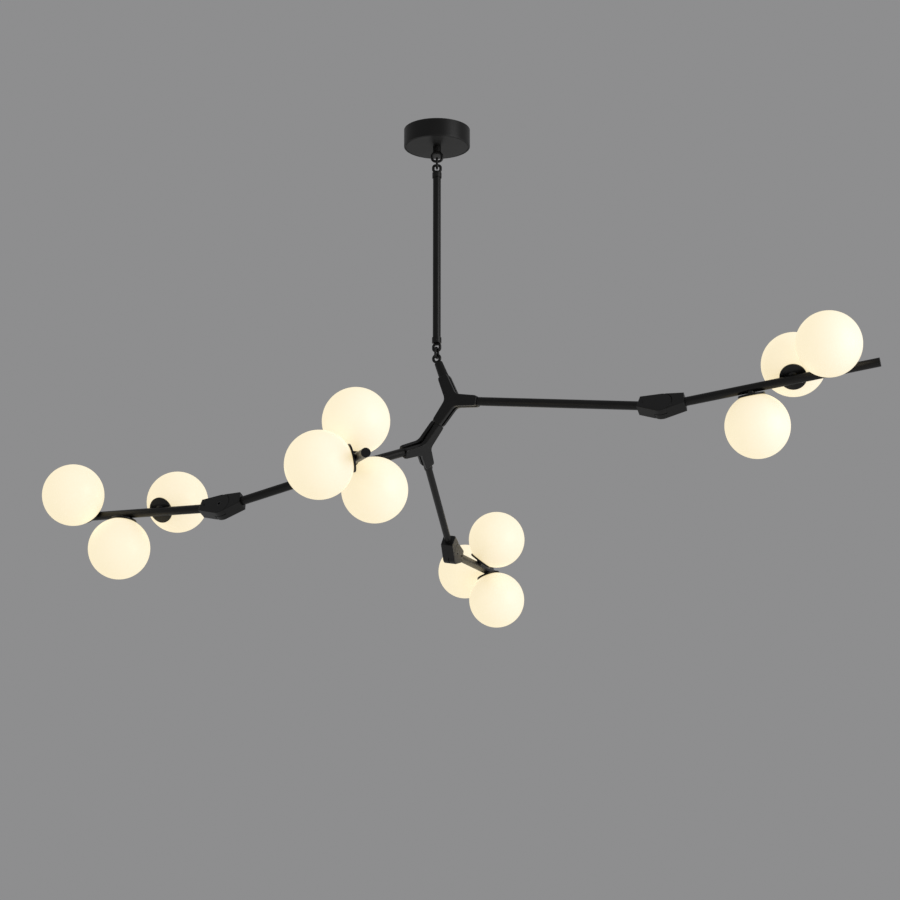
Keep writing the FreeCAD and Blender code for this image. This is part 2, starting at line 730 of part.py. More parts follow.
# ---- lamps ----

def lamp_cup():
    """A shallow disc on a short stub that saddles the tube, with a nipple into the tube."""
    cup = new_body("lamp_cup")
    rim, floor, stub = "cup_width / 2", "cup_recess", "stub_width / 2"
    revolve(cup, "disc", "Z", [
        ("0", "rod_width / 4"), (stub, "rod_width / 4"), (stub, "cup_bottom"), (rim, "cup_bottom"),
        (rim, "cup_top"), (floor, "cup_top"), (floor, "cup_floor"), ("0", "cup_floor")])
    saddle = new_sketch(cup, "YZ_Plane", "saddle_outline")
    circle(saddle, "channel_width")
    pocket(cup, saddle, "saddle", both_ways=True)
    nipple = new_sketch(cup, "XY_Plane", "nipple_outline")
    circle(nipple, "cup_nipple_width")
    lift(nipple, "cup_nipple_start")
    pad(cup, nipple, "nipple", "cup_bottom - cup_nipple_start")
    bore = new_sketch(cup, "XY_Plane", "bore_outline")
    circle(bore, "cup_nipple_bore")
    pocket(cup, bore, "bore", "cup_top", upwards=True)
    return cup


def lamp_holder():
    holder = new_body("lamp_holder")
    top, floor = "cup_floor + holder_height", "cup_floor + holder_floor"
    revolve(holder, "holder", "Z", [
        ("cup_nipple_bore / 2", "cup_floor"), ("holder_width / 2", "cup_floor"),
        ("holder_width / 2", top), ("holder_bore / 2", top), ("holder_bore / 2", floor),
        ("cup_nipple_bore / 2", floor)])
    return holder


def lamp_bulb():
    """A capsule bulb: a slim base in the lampholder and a wider glass with a domed end."""
    bulb = new_body("lamp_bulb")
    draw = new_sketch(bulb, "XZ_Plane", "bulb_outline")
    glass, base, foot, waist, dome = 8, 6, 0, 12, 36
    corners = [(0, foot), (base, foot), (base, waist), (glass, waist), (glass, dome)]
    for start, end in zip(corners, corners[1:]):
        draw.addGeometry(Part.LineSegment(Vector(*start, 0), Vector(*end, 0)))
    draw.addGeometry(Part.ArcOfCircle(Part.Circle(Vector(0, dome, 0), Z, glass), 0, QUARTER))
    draw.addGeometry(Part.LineSegment(Vector(0, dome + glass, 0), ORIGIN))
    for line in range(3):
        draw.addConstraint(Sketcher.Constraint("Coincident", line, 2, line + 1, 1))
    draw.addConstraint(Sketcher.Constraint("Tangent", 3, 2, 4, 1))
    draw.addConstraint(Sketcher.Constraint("Coincident", 4, 2, 5, 1))
    draw.addConstraint(Sketcher.Constraint("Coincident", 5, 2, 0, 1))
    for line in (0, 2):
        draw.addConstraint(Sketcher.Constraint("Horizontal", line))
    for line in (1, 3):
        draw.addConstraint(Sketcher.Constraint("Vertical", line))
    draw.addConstraint(Sketcher.Constraint("PointOnObject", 0, 1, -2))
    draw.addConstraint(Sketcher.Constraint("PointOnObject", 4, 2, -2))
    draw.addConstraint(Sketcher.Constraint("PointOnObject", 4, 3, -2))
    constrain(draw, "seat", "bulb_seat", "DistanceY", -1, 1, 0, 1, 1)
    constrain(draw, "base", "bulb_base / 2", "DistanceX", -1, 1, 0, 2, base)
    constrain(draw, "waist", "bulb_base_height", "DistanceY", 1, 1, 1, 2, waist)
    constrain(draw, "tall", "bulb_height", "DistanceY", 0, 1, 4, 2, dome + glass)
    constrain(draw, "glass", "bulb_width / 2", "Radius", 4, glass)
    turn = bulb.newObject("PartDesign::Revolution", "bulb")
    turn.Profile = draw
    turn.ReferenceAxis = (draw, ["V_Axis"])
    turn.Angle = 360
    return bulb


def lamp_globe():
    """A blown ball with one round mouth. Its wall thickens where it is cut flat for the cup."""
    globe = new_body("lamp_globe")
    draw = new_sketch(globe, "XZ_Plane", "globe_outline")
    outer, wall, middle, seat, mouth = 50, 2.5, 58.4, 11.6, 15
    inner = outer - wall
    lip = (outer ** 2 - (middle - seat) ** 2) ** 0.5
    wall_end = middle - (inner ** 2 - mouth ** 2) ** 0.5
    ball = Part.Circle(Vector(0, middle, 0), Z, outer)
    core = Part.Circle(Vector(0, middle, 0), Z, inner)
    draw.addGeometry(Part.LineSegment(Vector(mouth, seat, 0), Vector(lip, seat, 0)))
    draw.addGeometry(Part.ArcOfCircle(ball, ball.parameter(Vector(lip, seat, 0)) - 2 * HALF, QUARTER))
    draw.addGeometry(Part.LineSegment(Vector(0, middle + outer, 0), Vector(0, middle + inner, 0)))
    draw.addGeometry(Part.ArcOfCircle(core, core.parameter(Vector(mouth, wall_end, 0)) - 2 * HALF,
                                      QUARTER))
    draw.addGeometry(Part.LineSegment(Vector(mouth, wall_end, 0), Vector(mouth, seat, 0)))
    for first, second in (((0, 2), (1, 1)), ((1, 2), (2, 1)), ((2, 2), (3, 2)), ((3, 1), (4, 1)),
                          ((4, 2), (0, 1)), ((1, 3), (3, 3))):
        draw.addConstraint(Sketcher.Constraint("Coincident", *first, *second))
    for point in ((1, 3), (1, 2), (3, 2)):
        draw.addConstraint(Sketcher.Constraint("PointOnObject", *point, -2))
    draw.addConstraint(Sketcher.Constraint("Horizontal", 0))
    draw.addConstraint(Sketcher.Constraint("Vertical", 4))
    constrain(draw, "middle", "globe_offset", "DistanceY", -1, 1, 1, 3, middle)
    constrain(draw, "outer", "globe_width / 2", "Radius", 1, outer)
    constrain(draw, "inner", "globe_width / 2 - globe_wall", "Radius", 3, inner)
    constrain(draw, "seat", "globe_seat", "DistanceY", -1, 1, 0, 1, seat)
    constrain(draw, "mouth", "globe_mouth / 2", "DistanceX", -1, 1, 0, 1, mouth)
    turn = globe.newObject("PartDesign::Revolution", "globe")
    turn.Profile = draw
    turn.ReferenceAxis = (draw, ["V_Axis"])
    turn.Angle = 360
    return globe


def lamp_tube(side, place, start, clamped=False):
    """A tube with a closed end and a hole in its wall under each lamp."""
    tube = new_body(side + "_tube")
    end = "%s_first_lamp + 2 * lamp_pitch + %s_tail" % (side, side)
    bore, width = "rod_bore / 2", "rod_width / 2"
    revolve(tube, "tube", "X", [(start, bore), (start, width), (end, width), (end, "0"),
                                (end + " - tube_cap", "0"), (end + " - tube_cap", bore)])
    if clamped:
        rod_hole(tube, "screw_place", 0)
    for number, letter in enumerate("abc"):
        turn = size("%s_lamp_turn_%s" % (side, letter))
        hole = new_sketch(tube, "XY_Plane", "lamp_hole", Placement(ORIGIN, Rotation(X, turn - 90)))
        circle(hole, "cup_nipple_width + 2 * slide_gap",
               x="%s_first_lamp + %d * lamp_pitch" % (side, number))
        pocket(tube, hole, "lamp_hole_cut", "rod_width", upwards=True)
    tube.Placement = place
    return tube


def lamp_cluster(side, place, masters):
    """Three lamps on one tube, sorted by kind of piece."""
    spots = [on_tube(size(side + "_first_lamp") + number * size("lamp_pitch"),
                     size("%s_lamp_turn_%s" % (side, letter))) for number, letter in enumerate("abc")]
    groups = []
    for kind, master in masters.items():
        copies = group("%s_%s" % (side, kind), master, spots)
        copies.Placement = place
        groups.append(copies)
    return groups


# ---- the whole chandelier ----

def turned(place, axis, angle, along=0.0):
    """A frame turned about its own axis, then moved along its own X."""
    return place * Placement(ORIGIN, Rotation(axis, angle)) * Placement(along * X, Rotation())


def hanging_pieces(upright):
    """Everything from the ceiling down to the lower link."""
    facing = Rotation(Z, -size("branch_yaw"))
    top_link_place = Placement(-size("top_link_wire") * Z, Rotation(Z, 90))
    bottom_link_place = Placement(-size("bottom_link_wire") * Z, facing * Rotation(Z, 90))
    upside_down = Placement(-size("stem_bottom") * Z, facing * Rotation(X, 180))
    return [
        mounting_bracket(), hanger_nipple(), hanger_nuts(), canopy(), canopy_eye(), neck_set_screw(),
        link("top_link", top_link_place),
        stem_eye("stem_top_eye", Placement(-size("stem_top") * Z, Rotation())),
        stem_tube(), stem_eye("stem_bottom_eye", upside_down),
        link("bottom_link", bottom_link_place), fork_eye(upright)]


def branch_pieces(upright):
    """Forks, rods, elbows and lamps, from the fork's eye outwards."""
    screw = fork_screw()
    masters = {"cups": lamp_cup(), "lampholders": lamp_holder(), "bulbs": lamp_bulb(),
               "globes": lamp_globe()}
    upper = turned(upright, Z, 0, size("fork_eye_reach"))
    to_lower = turned(upper, Z, -60)
    lower = turned(turned(upper, Z, -60, size("lower_fork_step")), X, size("lower_twist"))
    to_near = turned(lower, Z, -60)
    near = turned(turned(lower, Z, -60, size("near_fork_step")), X, size("near_twist"))
    pieces = fork("upper_fork", upper, screw) + fork("lower_fork", lower, screw)
    pieces += fork("near_fork", near, screw)

    far = " - channel_start"
    pin_holes = (("screw_place", 0), ("lower_fork_step - screw_place", size("lower_twist")))
    middle_holes = (("screw_place", 0), ("near_fork_step - screw_place", size("near_twist")))
    one_hole = (("screw_place", 0),)
    right_arm, drop_arm = turned(upper, Z, 60), turned(lower, Z, 60)
    left_arm, near_arm = turned(near, Z, -60), turned(near, Z, 60)
    drop_width = "drop_rod_width"
    pieces += [
        rod("fork_joint_pin", to_lower, "channel_start", "lower_fork_step" + far, holes=pin_holes),
        rod("right_rod", right_arm, "channel_start", "right_reach - tube_start",
            bore="right_rod_bore", holes=one_hole),
        rod("middle_rod", to_near, "channel_start", "near_fork_step" + far, holes=middle_holes),
        rod("left_rod", left_arm, "channel_start", "left_reach - tube_start", holes=one_hole),
        rod("drop_rod", drop_arm, "channel_start", "drop_reach - tube_start",
            bore="drop_rod_bore", width=drop_width, holes=one_hole),
        rod("drop_rod_sleeve", drop_arm, "channel_start", "channel_start + drop_sleeve_length",
            bore="(drop_rod_width + 2 * slide_gap)", holes=one_hole)]

    tubes = {"near": near_arm}
    for side, arm, bore in (("right", right_arm, "rod_width"), ("left", left_arm, "rod_width"),
                            ("drop", drop_arm, drop_width)):
        fold = size(side + "_fold")
        pivot = turned(turned(arm, X, 0, size(side + "_reach")), X, size(side + "_roll"))
        pieces += elbow(side, pivot, fold, bore)
        tubes[side] = turned(pivot, Z, fold)
    for side, place in tubes.items():
        at_elbow = side != "near"
        start = "tube_start" if at_elbow else "channel_start"
        pieces.append(lamp_tube(side, place, start, clamped=not at_elbow))
        pieces += lamp_cluster(side, place, masters)
    return pieces


def check(pieces):
    """Stop if any object failed or any piece's shape isn't sound."""
    failed = [item.Name for item in doc.Objects if {"Invalid", "Error"} & set(item.State)]
    for piece in pieces:
        if piece.Shape.isNull() or not piece.Shape.isValid() or piece.Shape.Volume <= 0:
            failed.append(piece.Label)
        wanted = len(piece.Links) if piece.TypeId == "Part::Compound" else 1
        if len(piece.Shape.Solids) != wanted:
            failed.append("%s has %d solids" % (piece.Label, len(piece.Shape.Solids)))
    if failed:
        raise RuntimeError("not sound: " + ", ".join(failed))


fill_sheet()
eye_place = Placement(-size("fork_eye_depth") * Z, Rotation(Z, -size("branch_yaw")) * Rotation(X, 90)
                      * Rotation(Z, size("branch_tilt") - 90))
nodes = hanging_pieces(eye_place) + branch_pieces(eye_place)
doc.recompute()
check(nodes)
os.makedirs("parts", exist_ok=True)
for node in nodes:
    node.Shape.exportStep("parts/%s.step" % node.Label)
print("%d nodes, fork eye %.2f mm under the ceiling" % (len(nodes), size("fork_eye_depth")))
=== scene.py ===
import json
import math

import bmesh
import bpy
import numpy as np
from bpy.props import FloatProperty, FloatVectorProperty, IntProperty, PointerProperty
from mathutils import Matrix, Vector


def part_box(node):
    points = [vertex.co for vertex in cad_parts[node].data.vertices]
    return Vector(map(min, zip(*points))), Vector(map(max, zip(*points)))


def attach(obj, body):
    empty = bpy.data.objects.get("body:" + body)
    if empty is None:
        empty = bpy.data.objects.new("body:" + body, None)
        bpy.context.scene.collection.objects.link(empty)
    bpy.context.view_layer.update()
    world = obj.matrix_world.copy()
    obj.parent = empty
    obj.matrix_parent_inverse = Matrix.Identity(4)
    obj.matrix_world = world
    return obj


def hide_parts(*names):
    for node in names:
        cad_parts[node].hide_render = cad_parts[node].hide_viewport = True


# Branch chandelier: a matt black canopy, stem and forked rods with twelve lit opal globes.
# Metres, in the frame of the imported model: +Z is up and a viewer stands on the side of -Y.

bl_info = {
    "name": "Branch Chandelier",
    "version": (1, 0, 0),
    "blender": (4, 5, 0),
    "location": "View3D > Sidebar > Chandelier",
    "description": "Globes, cups, chain links, fastenings and finishes for a branching ceiling light",
    "category": "Add Mesh",
}

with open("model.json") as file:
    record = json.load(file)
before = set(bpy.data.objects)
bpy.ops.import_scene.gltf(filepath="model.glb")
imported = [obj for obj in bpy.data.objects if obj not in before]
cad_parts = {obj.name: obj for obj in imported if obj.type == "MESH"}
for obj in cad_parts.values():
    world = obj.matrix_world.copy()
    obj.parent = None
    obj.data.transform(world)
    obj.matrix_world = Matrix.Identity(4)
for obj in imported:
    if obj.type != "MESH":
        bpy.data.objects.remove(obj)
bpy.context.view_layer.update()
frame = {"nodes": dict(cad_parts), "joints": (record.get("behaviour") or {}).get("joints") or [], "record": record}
SIDES = ("right", "left", "near", "drop")
BODY_OF = {node: body for body, nodes in frame["record"]["behaviour"]["bodies"].items()
           for node in nodes}
SLOT_OF = {part["node"]: part["material_slot"] for part in frame["record"]["subparts"]}
JOINTS = {joint["name"]: joint for joint in frame["joints"]}

# How corners of the frame's meshes are told apart, in metres.
MERGE = 2e-6                # corners this close are one
MOUTH_LEVEL = 1e-5          # a globe's corners this near its lowest level are on its mouth
OUTER_SKIN = 0.0004         # a globe's corners this near its outermost one are on its outside
FIT_ROUNDS = 4              # of fitting a ball to a globe's corners

# How fine the new meshes are.
CANOPY_AROUND = 144
SCREW_AROUND = 36
OUTSIDE_STEPS = 44          # along the outside of a globe, from its pole to its mouth
INSIDE_STEPS = 36
LINK_STEPS = 128            # along the wire of a chain link
BEND_STEPS = 14
WIRE_SIDES = 24

# A lamp's cup, in metres.
SEAT_GAP = 0.0003           # between the glass and the cup
CUP_FLAT = 0.0010           # width of the rim's top
CUP_HEIGHT = 0.0035         # from the underside to the rim's top
CUP_BEVEL = 0.0006
CUP_SLOPE = 0.0016          # how far the inner wall leans in
CUP_ROUNDING = 0.0005       # of each edge
CUP_STEPS = 4               # faces over each rounding
STUB_RADIUS = 0.0060
STUB_FLARE = (0.0025, 0.0012)   # how far the stub spreads under the cup, and over what height

# Grub screws, in metres.
SCREW_REACH = 0.0295        # from an elbow's pivot
COLLAR_SCREW = 0.0045       # from the end of the stem
SCREW_FOOT = 0.0008         # how deep each is sunk

# The studio, in metres. Each lamp has a name, a place, a width and a share of the key's power.
FLOOR_RADIUS = 14.0
FLOOR_HEIGHT = -1.75
FLOOR_CORNERS = 96
LAMP_AIM = Vector((0.0, 0.0, -0.45))
STUDIO_LAMPS = (("key", (3.1, -2.0, -0.2), 3.2, 1.0),
                ("fill", (-2.2, -2.8, 0.6), 2.4, 0.20),
                ("rim", (-0.6, 2.6, 1.6), 2.0, 0.3))
SENSOR_WIDTH = 36.0         # millimetres
NEAREST, FARTHEST = 0.05, 60.0


# ---- what the frame says ----

def loose_pieces(node):
    """The corners of each separate solid of a node."""
    shape = bmesh.new()
    shape.from_mesh(frame["nodes"][node].data)
    bmesh.ops.remove_doubles(shape, verts=shape.verts, dist=MERGE)
    left, found = set(shape.verts), []
    while left:
        waiting, piece = [left.pop()], []
        while waiting:
            corner = waiting.pop()
            piece.append(tuple(corner.co))
            for edge in corner.link_edges:
                other = edge.other_vert(corner)
                if other in left:
                    left.remove(other)
                    waiting.append(other)
        found.append(np.array(piece))
    shape.free()
    return found


def from_axis(corners, place, way):
    """How far each corner lies from the line through a place."""
    off = corners - place
    return np.linalg.norm(off - np.outer(off @ way, way), axis=1)


def ball(corners):
    """Centre and radius of the outer ball of a globe, fitted to its outer corners."""
    outer = corners
    for _ in range(FIT_ROUNDS):
        rows = np.c_[2 * outer, np.ones(len(outer))]
        x, y, z, rest = np.linalg.lstsq(rows, (outer ** 2).sum(axis=1), rcond=None)[0]
        centre = np.array((x, y, z))
        radius = math.sqrt(rest + centre @ centre)
        away = np.linalg.norm(corners - centre, axis=1)
        outer = corners[away > away.max() - OUTER_SKIN]
    return centre, radius


def lamps(side):
    """The three lamps of a tube, the one nearest the light's middle first: its foot on the tube's
    axis, the way out, the way along the tube, and the globe's sizes."""
    found = []
    holders = [piece.mean(axis=0) for piece in loose_pieces(side + "_lampholders")]
    for corners in loose_pieces(side + "_globes"):
        centre, radius = ball(corners)
        holder = min(holders, key=lambda spot: np.linalg.norm(spot - centre))
        out = centre - holder
        out /= np.linalg.norm(out)
        level = (corners - centre) @ out
        mouth = corners[level < level.min() + MOUTH_LEVEL]
        found.append({"centre": centre, "out": out, "radius": radius, "seat": level.min(),
                      "mouth": from_axis(mouth, centre, out).min()})
    low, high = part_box("middle_rod")
    middle = np.array(low + high) / 2
    found.sort(key=lambda lamp: np.linalg.norm(lamp["centre"] - middle))
    a, b, c = found
    bend = 2 * b["out"] - a["out"] - c["out"]
    offset = (2 * b["centre"] - a["centre"] - c["centre"]) @ bend / (bend @ bend)
    for lamp in found:
        lamp["offset"] = offset
        lamp["foot"] = lamp["centre"] - lamp["out"] * offset
    along = c["foot"] - a["foot"]
    for lamp in found:
        lamp["along"] = along / np.linalg.norm(along)
    return found


LAMPS = {side: lamps(side) for side in SIDES}


def lamp_places(side):
    """Where the lamps of a tube stand: each one's foot, its way out and the way along the tube."""
    return [(lamp["foot"], lamp["out"], lamp["along"]) for lamp in LAMPS[side]]


# ---- sizes and colours that a user would change ----

class ChandelierGlass(bpy.types.PropertyGroup):
    """Sizes and light of the globes and cups."""

    wall: FloatProperty(name="Globe wall", description="Thickness of the blown glass",
                        default=0.0025, min=0.001, unit="LENGTH")
    lip_round: FloatProperty(name="Lip rounding", description="Fire-polished rounding of the mouth",
                             default=0.0009, min=0.0001, unit="LENGTH")
    around: IntProperty(name="Faces around", description="Facets around each globe and cup",
                        default=84, min=24)
    cup_width: FloatProperty(name="Cup width", description="Across the dark cup under each globe",
                             default=0.042, unit="LENGTH")
    glow: FloatProperty(name="Glow", description="Strength of the light that leaves the glass",
                        default=0.81, min=0.0)
    glow_colour: FloatVectorProperty(name="Glow colour", description="Light through the thin glass",
                                     subtype="COLOR", size=3, default=(1.0, 0.83, 0.46))
    neck_colour: FloatVectorProperty(name="Neck colour", description="Light near the cup",
                                     subtype="COLOR", size=3, default=(0.96, 0.78, 0.42))
    body_colour: FloatVectorProperty(name="Glass colour", description="Opal glass by daylight",
                                     subtype="COLOR", size=3, default=(0.36, 0.42, 0.56))


class ChandelierMetal(bpy.types.PropertyGroup):
    """Colours of the metal and the sizes of its small fastenings."""

    coat: FloatVectorProperty(name="Powder coat", description="Tubes, rods, links, stem and canopy",
                              subtype="COLOR", size=3, default=(0.0046, 0.0044, 0.0042))
    machined: FloatVectorProperty(name="Machined black", description="Forks, elbows and cups",
                                  subtype="COLOR", size=3, default=(0.0044, 0.0043, 0.0044))
    coat_roughness: FloatProperty(name="Coat roughness", description="Middle roughness of the coat",
                                  default=0.36, min=0.05, max=1.0, subtype="FACTOR")
    screw_width: FloatProperty(name="Grub screw width", description="Thread of the small screws",
                               default=0.0032, unit="LENGTH")
    screw_proud: FloatProperty(name="Grub screw height", description="How far each stands out",
                               default=0.0009, unit="LENGTH")
    weld: FloatProperty(name="Weld bead", description="Swelling where a chain link is welded",
                        default=0.00035, unit="LENGTH")
    canopy_edge: FloatProperty(name="Canopy edge", description="Softened lower edge of the canopy",
                               default=0.0022, unit="LENGTH")
    groove: FloatProperty(name="Canopy groove", description="Width of the groove inside the edge",
                          default=0.0011, unit="LENGTH")


class ChandelierStudio(bpy.types.PropertyGroup):
    """The plain studio and the camera."""

    floor: FloatVectorProperty(name="Floor", description="Colour of the floor",
                               subtype="COLOR", size=3, default=(0.72, 0.72, 0.72))
    backdrop: FloatVectorProperty(name="Backdrop", description="Colour behind the light",
                                  subtype="COLOR", size=3, default=(0.27, 0.27, 0.274))
    sky: FloatProperty(name="Room light", description="Even light from all around",
                       default=0.40, min=0.0)
    key: FloatProperty(name="Key light", description="Large soft light on the right",
                       default=56.0, min=0.0, unit="POWER")
    camera_place: FloatVectorProperty(name="Camera", description="Where the viewer's eye is",
                                      subtype="TRANSLATION", size=3, unit="LENGTH",
                                      default=(0.0217, -3.339, -1.319))
    camera_pitch: FloatProperty(name="Camera pitch", description="How far the view tips up",
                                default=math.radians(13.0), subtype="ANGLE", unit="ROTATION")
    lens: FloatProperty(name="Lens", description="Focal length", default=85.0, unit="CAMERA")


# ---- node helpers ----

def add(tree, kind, values=None, **settings):
    """A node with its settings, and its inputs set by name or number to a value or a socket."""
    node = tree.nodes.new(kind)
    for name, value in settings.items():
        setattr(node, name, value)
    for key, value in (values or {}).items():
        if isinstance(value, bpy.types.NodeSocket):
            tree.links.new(value, node.inputs[key])
        else:
            node.inputs[key].default_value = value
    return node


def maths(tree, operation, *values):
    """The result of a Math node."""
    return add(tree, "ShaderNodeMath", dict(enumerate(values)), operation=operation).outputs[0]


def position(tree):
    """The x, y and z of each point."""
    place = add(tree, "GeometryNodeInputPosition").outputs[0]
    return add(tree, "ShaderNodeSeparateXYZ", {0: place}).outputs


def new_group(name, inputs):
    """An empty geometry group whose inputs are (name, type, default)."""
    tree = bpy.data.node_groups.new(name, "GeometryNodeTree")
    tree.interface.new_socket("Geometry", in_out="INPUT", socket_type="NodeSocketGeometry")
    for label, kind, default in inputs:
        socket = tree.interface.new_socket(label, in_out="INPUT", socket_type=kind)
        if default is not None:
            socket.default_value = default
    tree.interface.new_socket("Geometry", in_out="OUTPUT", socket_type="NodeSocketGeometry")
    return tree, tree.nodes.new("NodeGroupInput").outputs


def place_copies(tree, one, given):
    """Set copies of a shape on the points of the Places object, solid and with a finish."""
    places = add(tree, "GeometryNodeObjectInfo", {"Object": given["Places"]},
                 transform_space="ORIGINAL")
    turn = add(tree, "GeometryNodeInputNamedAttribute", {"Name": "turn"}, data_type="FLOAT_VECTOR")
    copies = add(tree, "GeometryNodeInstanceOnPoints", {
        "Points": places.outputs["Geometry"], "Instance": one, "Rotation": turn.outputs["Attribute"]})
    solid = add(tree, "GeometryNodeRealizeInstances", {"Geometry": copies.outputs["Instances"]})
    finish = add(tree, "GeometryNodeSetMaterial", {
        "Geometry": solid.outputs["Geometry"], "Material": given["Finish"]})
    add(tree, "NodeGroupOutput", {"Geometry": finish.outputs["Geometry"]})


def turned_group():
    """Spin a profile about Z. Points marked "flats" turn into a hexagon, and the foot can sit on
    a tube that runs along X."""
    tree, given = new_group("Turned pieces", [
        ("Places", "NodeSocketObject", None), ("Around", "NodeSocketInt", 84),
        ("Saddle", "NodeSocketFloat", 0.0), ("Finish", "NodeSocketMaterial", None)])
    profile = given["Geometry"]
    count = add(tree, "GeometryNodeAttributeDomainSize", {"Geometry": profile}).outputs["Point Count"]

    # A square sheet, 1 by 1, whose columns go round and whose rows follow the profile.
    grid = add(tree, "GeometryNodeMeshGrid", {
        "Size X": 1.0, "Size Y": 1.0, "Vertices X": maths(tree, "ADD", given["Around"], 1.0),
        "Vertices Y": count})
    flat = position(tree)
    angle = maths(tree, "MULTIPLY", maths(tree, "ADD", flat[0], 0.5), math.tau)
    row = maths(tree, "ROUND", maths(tree, "MULTIPLY", maths(tree, "ADD", flat[1], 0.5),
                                     maths(tree, "SUBTRACT", count, 1.0)))
    place = add(tree, "GeometryNodeInputPosition").outputs[0]
    spot = add(tree, "GeometryNodeSampleIndex", {"Geometry": profile, "Value": place, "Index": row},
               data_type="FLOAT_VECTOR", domain="POINT").outputs[0]
    mark = add(tree, "GeometryNodeInputNamedAttribute", {"Name": "flats"},
               data_type="FLOAT").outputs["Attribute"]
    flats = add(tree, "GeometryNodeSampleIndex", {"Geometry": profile, "Value": mark, "Index": row},
                data_type="FLOAT", domain="POINT").outputs[0]

    # A hexagon narrows the circle between its corners.
    sixth = maths(tree, "SUBTRACT", maths(tree, "MODULO", angle, math.tau / 6), math.tau / 12)
    side = maths(tree, "DIVIDE", math.cos(math.tau / 12), maths(tree, "COSINE", sixth))
    narrowing = maths(tree, "ADD", maths(tree, "MULTIPLY", maths(tree, "SUBTRACT", side, 1.0), flats),
                      1.0)
    point = add(tree, "ShaderNodeSeparateXYZ", {0: spot}).outputs
    radius = maths(tree, "MULTIPLY", point[0], narrowing)
    x = maths(tree, "MULTIPLY", radius, maths(tree, "COSINE", angle))
    y = maths(tree, "MULTIPLY", radius, maths(tree, "SINE", angle))

    # Nothing goes below the round top of the tube.
    hollow = maths(tree, "SUBTRACT", maths(tree, "MULTIPLY", given["Saddle"], given["Saddle"]),
                   maths(tree, "MULTIPLY", y, y))
    height = maths(tree, "MAXIMUM", point[2],
                   maths(tree, "SQRT", maths(tree, "MAXIMUM", hollow, 0.0)))
    spun = add(tree, "GeometryNodeSetPosition", {
        "Geometry": grid.outputs["Mesh"],
        "Position": add(tree, "ShaderNodeCombineXYZ", {0: x, 1: y, 2: height}).outputs[0]})

    # How far up the piece each point is, from 0 to 1, for the finish.
    top = add(tree, "GeometryNodeAttributeStatistic", {
        "Geometry": profile, "Attribute": position(tree)[2]}, data_type="FLOAT").outputs["Max"]
    stored = add(tree, "GeometryNodeStoreNamedAttribute", {
        "Geometry": spun.outputs["Geometry"], "Name": "reach",
        "Value": maths(tree, "DIVIDE", position(tree)[2], top)}, data_type="FLOAT", domain="POINT")
    closed = add(tree, "GeometryNodeMergeByDistance", {
        "Geometry": stored.outputs["Geometry"], "Distance": MERGE})
    place_copies(tree, closed.outputs["Geometry"], given)
    return tree


def link_group():
    """A chain link: a rounded rectangle of wire in the XY plane, with a weld bead on one long side
    that fades out over a share of the wire."""
    bead_share = 0.35
    tree, given = new_group("Chain links", [
        ("Places", "NodeSocketObject", None), ("Width", "NodeSocketFloat", 0.01),
        ("Height", "NodeSocketFloat", 0.016), ("Wire", "NodeSocketFloat", 0.0035),
        ("Corner", "NodeSocketFloat", 0.003), ("Weld", "NodeSocketFloat", 0.0003),
        ("Finish", "NodeSocketMaterial", None)])
    path = add(tree, "GeometryNodeCurvePrimitiveQuadrilateral", {
        "Width": given["Width"], "Height": given["Height"]}, mode="RECTANGLE")
    bent = add(tree, "GeometryNodeFilletCurve", {
        "Curve": path.outputs["Curve"], "Radius": given["Corner"], "Count": BEND_STEPS}, mode="POLY")
    even = add(tree, "GeometryNodeResampleCurve", {
        "Curve": bent.outputs["Curve"], "Count": LINK_STEPS})
    wire = add(tree, "GeometryNodeCurvePrimitiveCircle", {
        "Resolution": WIRE_SIDES, "Radius": maths(tree, "MULTIPLY", given["Wire"], 0.5)})
    loop = add(tree, "GeometryNodeCurveToMesh", {
        "Curve": even.outputs["Curve"], "Profile Curve": wire.outputs["Curve"]})
    spot = position(tree)
    beside = maths(tree, "GREATER_THAN", spot[0], 0.0)
    nearness = add(tree, "ShaderNodeMapRange", {
        "Value": maths(tree, "ABSOLUTE", spot[1]), "From Min": 0.0,
        "From Max": maths(tree, "MULTIPLY", given["Wire"], bead_share), "To Min": 1.0, "To Max": 0.0},
        interpolation_type="SMOOTHSTEP").outputs["Result"]
    swell = maths(tree, "MULTIPLY", maths(tree, "MULTIPLY", nearness, beside), given["Weld"])
    outward = add(tree, "ShaderNodeVectorMath", {
        0: add(tree, "GeometryNodeInputNormal").outputs[0], "Scale": swell}, operation="SCALE")
    beaded = add(tree, "GeometryNodeSetPosition", {
        "Geometry": loop.outputs["Mesh"], "Offset": outward.outputs["Vector"]})
    place_copies(tree, beaded.outputs["Geometry"], given)
    return tree


# ---- mesh helpers ----

def plain_mesh(name, points, edges=(), **columns):
    """An object of points and edges, with named float or vector columns on its points."""
    mesh = bpy.data.meshes.new(name)
    mesh.from_pydata([tuple(map(float, point)) for point in points], list(edges), [])
    for column, values in columns.items():
        values = np.array(values, dtype=float)
        kind = ("FLOAT", "value") if values.ndim == 1 else ("FLOAT_VECTOR", "vector")
        mesh.attributes.new(column, kind[0], "POINT").data.foreach_set(kind[1], values.ravel())
    piece = bpy.data.objects.new(name, mesh)
    bpy.context.scene.collection.objects.link(piece)
    return piece


def profile_object(name, corners):
    """A chain of (radius, height) or (radius, height, flats) corners."""
    points = [(corner[0], 0.0, corner[1]) for corner in corners]
    return plain_mesh(name, points, [(i, i + 1) for i in range(len(points) - 1)],
                      flats=[corner[2] if len(corner) > 2 else 0.0 for corner in corners])


